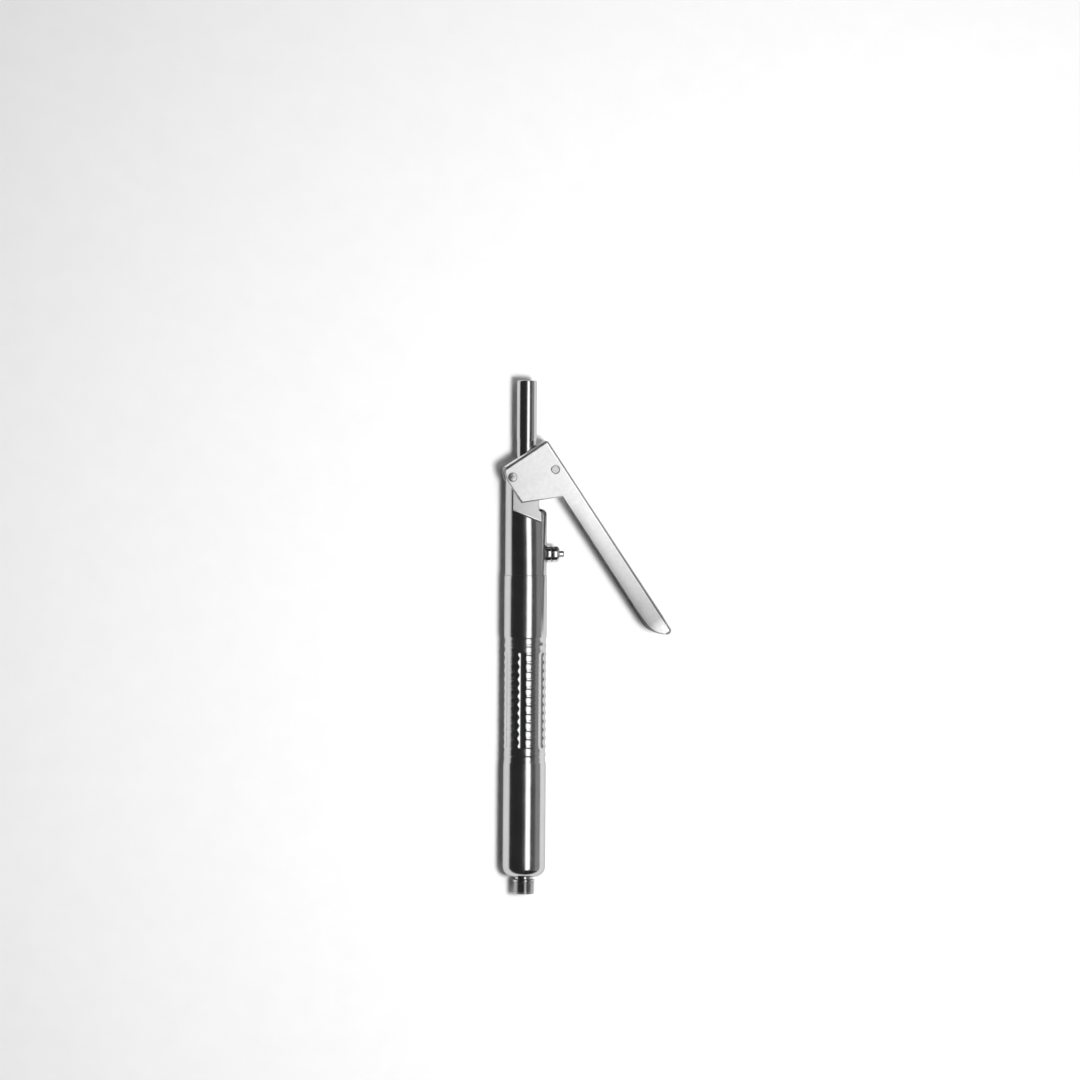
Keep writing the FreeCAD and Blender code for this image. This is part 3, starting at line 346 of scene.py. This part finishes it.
class Shader:
    """Small helper that adds linked nodes to one material."""

    def __init__(self, name):
        self.material = bpy.data.materials.new(name)
        self.material.use_nodes = True
        self.tree = self.material.node_tree
        self.bsdf = self.tree.nodes["Principled BSDF"]

    def add(self, kind, **values):
        """New node, with its inputs or settings given by name."""
        node = self.tree.nodes.new("ShaderNode" + kind)
        for key, value in values.items():
            if key in node.inputs:
                node.inputs[key].default_value = value
            else:
                setattr(node, key, value)
        return node

    def link(self, source, target):
        self.tree.links.new(source, target)

    def place(self, scale):
        """Rest position, stretched by scale per axis."""
        where = self.add("TexCoord")
        mapping = self.add("Mapping", Scale=scale)
        self.link(where.outputs["Object"], mapping.inputs["Vector"])
        return mapping.outputs["Vector"]

    def noise(self, scale, size, detail=4.0, rough=0.6):
        node = self.add("TexNoise", Scale=size, Detail=detail, Roughness=rough)
        self.link(self.place(scale), node.inputs["Vector"])
        return node.outputs["Fac"]

    def lever_place(self):
        """Rest position from the lever's pivot, with the lever's back upright."""
        where = self.add("TexCoord")
        mapping = self.add("Mapping", vector_type="TEXTURE", Location=LEVER_PIVOT,
                           Rotation=(0, 0, math.radians(LEVER_ANGLE)))
        parts = self.add("SeparateXYZ")
        self.link(where.outputs["Object"], mapping.inputs["Vector"])
        self.link(mapping.outputs["Vector"], parts.inputs[0])
        return parts.outputs["X"], parts.outputs["Y"]

    def math(self, operation, a, b):
        """Result of a sum on two outputs or numbers."""
        node = self.add("Math", operation=operation)
        for socket, value in zip(node.inputs, (a, b)):
            if isinstance(value, (int, float)):
                socket.default_value = value
            else:
                self.link(value, socket)
        return node.outputs[0]

    def stops(self, source, low, high, greys):
        """Grey ramp over a stretch in millimetres, given as (share, value) pairs."""
        share = self.ramp(source, 0.0, 1.0, low * MM, high * MM)
        node = self.add("ValToRGB")
        marks = node.color_ramp.elements
        while len(marks) < len(greys):
            marks.new(1.0)
        for mark, (place, value) in zip(marks, greys):
            mark.position = place
            mark.color = (value, value, value, 1)
        self.link(share, node.inputs["Fac"])
        return node.outputs["Color"]

    def ramp(self, source, low, high, from_low=0.3, from_high=0.7):
        """Source mapped from one range to another."""
        node = self.add("MapRange")
        node.inputs["From Min"].default_value = from_low
        node.inputs["From Max"].default_value = from_high
        node.inputs["To Min"].default_value = low
        node.inputs["To Max"].default_value = high
        self.link(source, node.inputs["Value"])
        return node.outputs["Result"]

    def colours(self, source, dark, light):
        """Blend of two colours by a noise value."""
        node = self.add("ValToRGB")
        node.color_ramp.elements[0].position = 0.3
        node.color_ramp.elements[1].position = 0.7
        node.color_ramp.elements[0].color = (*dark, 1)
        node.color_ramp.elements[1].color = (*light, 1)
        self.link(source, node.inputs["Fac"])
        return node.outputs["Color"]

    def bump(self, source, distance, under=None):
        """Normal with bumps of the given height in metres, over another normal."""
        node = self.add("Bump", Distance=distance, Strength=1.0)
        self.link(source, node.inputs["Height"])
        if under is not None:
            self.link(under, node.inputs["Normal"])
        return node.outputs["Normal"]


def grey(value, warm=0.0):
    """Neutral colour, or a slightly warm one."""
    return (value * (1 + warm), value, value * (1 - warm))


def steel(name, dark, light, rough_low, rough_high, grain, grain_size, grain_depth,
          dent_depth=0.0):
    """Stainless steel with fine directional grain, given as an axis stretch.

    Its specular tint darkens the grazing reflections more than real steel does.
    """
    s = Shader(name)
    s.bsdf.inputs["Metallic"].default_value = 1.0
    s.bsdf.inputs["Specular Tint"].default_value = (0.62, 0.62, 0.62, 1)
    fine = s.noise(grain, grain_size)
    cloudy = s.noise(EVEN, 70.0, 5.0, 0.65)
    s.link(s.colours(cloudy, dark, light), s.bsdf.inputs["Base Color"])
    mixed = s.math("ADD", fine, cloudy)
    s.link(s.ramp(mixed, rough_low, rough_high, 0.75, 1.25), s.bsdf.inputs["Roughness"])
    normal = s.bump(fine, grain_depth)
    if dent_depth:
        normal = s.bump(s.noise(EVEN, 420.0, 3.0), dent_depth, normal)
    s.link(normal, s.bsdf.inputs["Normal"])
    return s.material


def lever_steel():
    """Brushed sheet with painted shade and a painted sheen: its grey is set by the place on
    the lever.

    The arm is darker along its inner edge and toward its tip (painted shade), and the ears and
    the back are lighter (painted sheen). The gradient is part of the colour and not of the
    light, so it stays in any light.
    """
    s = Shader("lever_steel")
    s.bsdf.inputs["Metallic"].default_value = 1.0
    across, along = s.lever_place()
    # Painted shade and sheen along the lever: darkest near the arm's tip, light toward the
    # ears.
    painted_shade_and_sheen_along = s.stops(along, -131.0, 8.0, [(0.0, 0.86), (0.05, 0.82), (0.09, 0.46), (0.2, 0.52),
                                        (0.4, 0.70), (0.62, 0.88), (1.0, 0.92)])
    # Painted shade across the arm: darkest at its inner edge, none at the back.
    painted_shade_across = s.stops(across, 18.9, 27.0, [(0.0, 0.50), (0.25, 0.72), (0.6, 0.92), (1.0, 1.0)])
    # Mask that keeps the painted shade across the arm off the ears.
    on_arm = s.ramp(along, 1.0, 0.0, -0.045, -0.024)
    shade = s.math("ADD", s.math("MULTIPLY", painted_shade_across, on_arm), s.math("SUBTRACT", 1.0, on_arm))
    mottle = s.ramp(s.noise(EVEN, 420.0, 6.0, 0.72), 0.93, 1.06)
    clouds = s.ramp(s.noise(EVEN, 60.0, 3.0), 0.96, 1.03)
    # The painted shade and sheen together, then times the random mottle and clouds.
    painted_shade_and_sheen = s.math("MULTIPLY", painted_shade_and_sheen_along, shade)
    value = s.math("MULTIPLY", painted_shade_and_sheen, s.math("MULTIPLY", mottle, clouds))
    s.link(s.math("MINIMUM", value, 0.97), s.bsdf.inputs["Base Color"])
    fine = s.noise(EVEN, 3600.0)
    s.link(s.ramp(fine, 0.27, 0.38), s.bsdf.inputs["Roughness"])
    dents = s.bump(s.noise(EVEN, 420.0, 3.0), 0.00002)
    s.link(s.bump(fine, 0.000004, dents), s.bsdf.inputs["Normal"])
    return s.material


def plain(name, dark, light, rough, metallic=0.0):
    """Even material with a fine grain, for the inner pieces."""
    s = Shader(name)
    s.bsdf.inputs["Metallic"].default_value = metallic
    s.bsdf.inputs["Roughness"].default_value = rough
    fine = s.noise(EVEN, 900.0)
    s.link(s.colours(fine, dark, light), s.bsdf.inputs["Base Color"])
    s.link(s.bump(fine, 0.00002), s.bsdf.inputs["Normal"])
    return s.material


turned_steel = steel("turned_steel", grey(0.57), grey(0.63), 0.15, 0.22,
                     RINGS, 5200.0, 0.0000012)
drawn_steel = steel("drawn_steel", grey(0.57), grey(0.63), 0.15, 0.21,
                    ALONG, 3000.0, 0.000001)
milled_steel = steel("milled_steel", grey(0.62), grey(0.68), 0.10, 0.20,
                     RINGS, 2600.0, 0.0000015)
satin_steel = steel("satin_steel", grey(0.62), grey(0.70), 0.30, 0.42,
                    EVEN, 3600.0, 0.000004, 0.00001)
screw_steel = steel("screw_steel", grey(0.52), grey(0.60), 0.16, 0.28,
                    EVEN, 2500.0, 0.000002)
spring_steel = plain("spring_steel", grey(0.42), grey(0.50), 0.25, 1.0)
valve_steel = plain("valve_steel", grey(0.55), grey(0.62), 0.12, 1.0)
seal_rubber = plain("seal_rubber", grey(0.012), grey(0.022), 0.6)
guide_plastic = plain("guide_plastic", grey(0.72, 0.01), grey(0.78, 0.01), 0.45)

BY_SLOT = {
    "polished_steel": turned_steel,
    "satin_steel": satin_steel,
    "fastener_steel": screw_steel,
    "spring_steel": spring_steel,
    "valve_steel": valve_steel,
    "seal_rubber": seal_rubber,
    "guide_plastic": guide_plastic,
}
OWN = {
    "lever": lever_steel(),
    "outlet_tube": drawn_steel,
    "stop_boss": milled_steel,
    "stop_locknut": milled_steel,
    "stop_screw": milled_steel,
}


def dress(thing, material):
    """Gives an object one material."""
    thing.data.materials.clear()
    thing.data.materials.append(material)


def put(piece, node_name, body, material):
    """Dresses a piece that stands for a CAD node and moves with a body."""
    dress(piece, material)
    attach(piece, body)
    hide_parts(node_name)


slots = {part["node"]: part["material_slot"] for part in frame["record"]["subparts"]}
finishes = {name: OWN.get(name, BY_SLOT[slots[name]]) for name in nodes}
for name, node in nodes.items():
    dress(node, finishes[name])

put(make_barrel(), "barrel", "barrel", turned_steel)
put(make_nipple(), "inlet_nipple", "barrel", turned_steel)

# Pieces whose edges are eased: node, new name, body, width of the round in millimetres
# and its number of steps.
EASED = [
    ("lever", "lever_sheet", "lever", 0.65, 4),
    ("head_housing", "head_body", "barrel", 0.22, 3),
    ("pivot_screw", "pivot_screw_turned", "barrel", 0.2, 3),
    ("pivot_nut", "pivot_nut_milled", "barrel", 0.15, 3),
    ("drive_pin", "drive_pin_turned", "lever", 0.2, 3),
    ("stop_boss", "stop_boss_turned", "barrel", 0.4, 3),
    ("stop_locknut", "stop_locknut_turned", "barrel", 0.35, 3),
    ("stop_screw", "stop_screw_turned", "stop_screw", 0.3, 3),
]
for name, new_name, body, width, steps in EASED:
    put(eased(name, new_name, width, steps), name, body, finishes[name])

# Springs: node, body, joint that presses it, height of its seat and of its moving end,
# and how far that end travels, in millimetres.
SPRINGS = [
    ("return_spring", "barrel", "tube_slide", 25.5, 149.95, 12.3),
    ("inlet_valve_spring", "barrel", "inlet_ball_lift", 29.5, 23.0, 1.5),
    ("outlet_valve_spring", "plunger", "outlet_ball_lift", 174.0, 163.19, 1.5),
]
for name, body, joint, seat, moving_end, travel in SPRINGS:
    spring = linked(name + "_coil", node_mesh(name))
    put(spring, name, body, spring_steel)
    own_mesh(spring)


# ------------------------------------------------------------------- stage

FLOOR_GAP = 0.0002
FLOOR_HALF = 3.0
floor_height = cad_box[0][2] - FLOOR_GAP
corners = [(-FLOOR_HALF, -FLOOR_HALF), (FLOOR_HALF, -FLOOR_HALF),
           (FLOOR_HALF, FLOOR_HALF), (-FLOOR_HALF, FLOOR_HALF)]
floor = mesh_object("floor", [(x, y, floor_height) for x, y in corners], [(0, 1, 2, 3)])
paper = Shader("paper")
paper.bsdf.inputs["Roughness"].default_value = 0.9
paper.bsdf.inputs["Specular IOR Level"].default_value = 0.1
paper.link(paper.colours(paper.noise(EVEN, 60.0), grey(0.90), grey(0.92)),
           paper.bsdf.inputs["Base Color"])
dress(floor, paper.material)

world = bpy.data.worlds.new("studio")
bpy.context.scene.world = world
world.use_nodes = True
background = world.node_tree.nodes["Background"]
background.inputs["Color"].default_value = (1, 1, 1, 1)
background.inputs["Strength"].default_value = 0.03


def soft_light(name, place, aim, width, height, glow, in_reflections=True):
    """Soft box of the given size in metres and radiance, facing a point."""
    lamp = bpy.data.lights.new(name, "AREA")
    lamp.shape = "RECTANGLE"
    lamp.size = width
    lamp.size_y = height
    lamp.energy = glow * math.pi * width * height
    thing = linked(name, lamp)
    thing.location = place
    direction = Vector(aim) - Vector(place)
    thing.rotation_euler = direction.to_track_quat("-Z", "Y").to_euler()
    thing.visible_glossy = in_reflections


MIDDLE = (0.0, 0.18, 0.0)
soft_light("ceiling", (0.36, 0.18, 1.2), (0.36, 0.18, 0.0), 0.56, 1.9, 1.9)
soft_light("ceiling_edge", (-0.12, 0.18, 1.25), (-0.12, 0.18, 0.0), 0.3, 1.0, 0.05)
soft_light("right_shelf", (1.05, 0.18, 0.95), MIDDLE, 2.4, 0.5, 0.08)
soft_light("right_wall", (1.4, 0.18, 0.4), MIDDLE, 2.4, 0.84, 0.3)
# The key light is kept out of reflections, so it lights the floor and casts the shadow.
soft_light("key", (0.25, 0.08, 1.2), MIDDLE, 0.2, 0.2, 108.0, False)

# Camera almost straight above with a long lens, leaning a little away from the lever.
# It looks at CENTRE and shows WIDTH metres there.
CENTRE = Vector((0.0084, 0.2076, 0.0))
WIDTH = 0.648
DISTANCE = 2.6
SENSOR = 36.0
LEAN = math.radians(4.0)
ROLL = math.radians(0.385)
camera_data = bpy.data.cameras.new("camera")
camera_data.sensor_width = SENSOR
camera_data.lens = SENSOR * DISTANCE / WIDTH
camera = linked("camera", camera_data)
turned = Matrix.Rotation(-LEAN, 4, "Y") @ Matrix.Rotation(ROLL, 4, "Z")
away = turned @ Vector((0, 0, DISTANCE))
camera.matrix_world = Matrix.Translation(CENTRE + away) @ turned
bpy.context.scene.camera = camera
bpy.context.scene.view_settings.view_transform = "Standard"
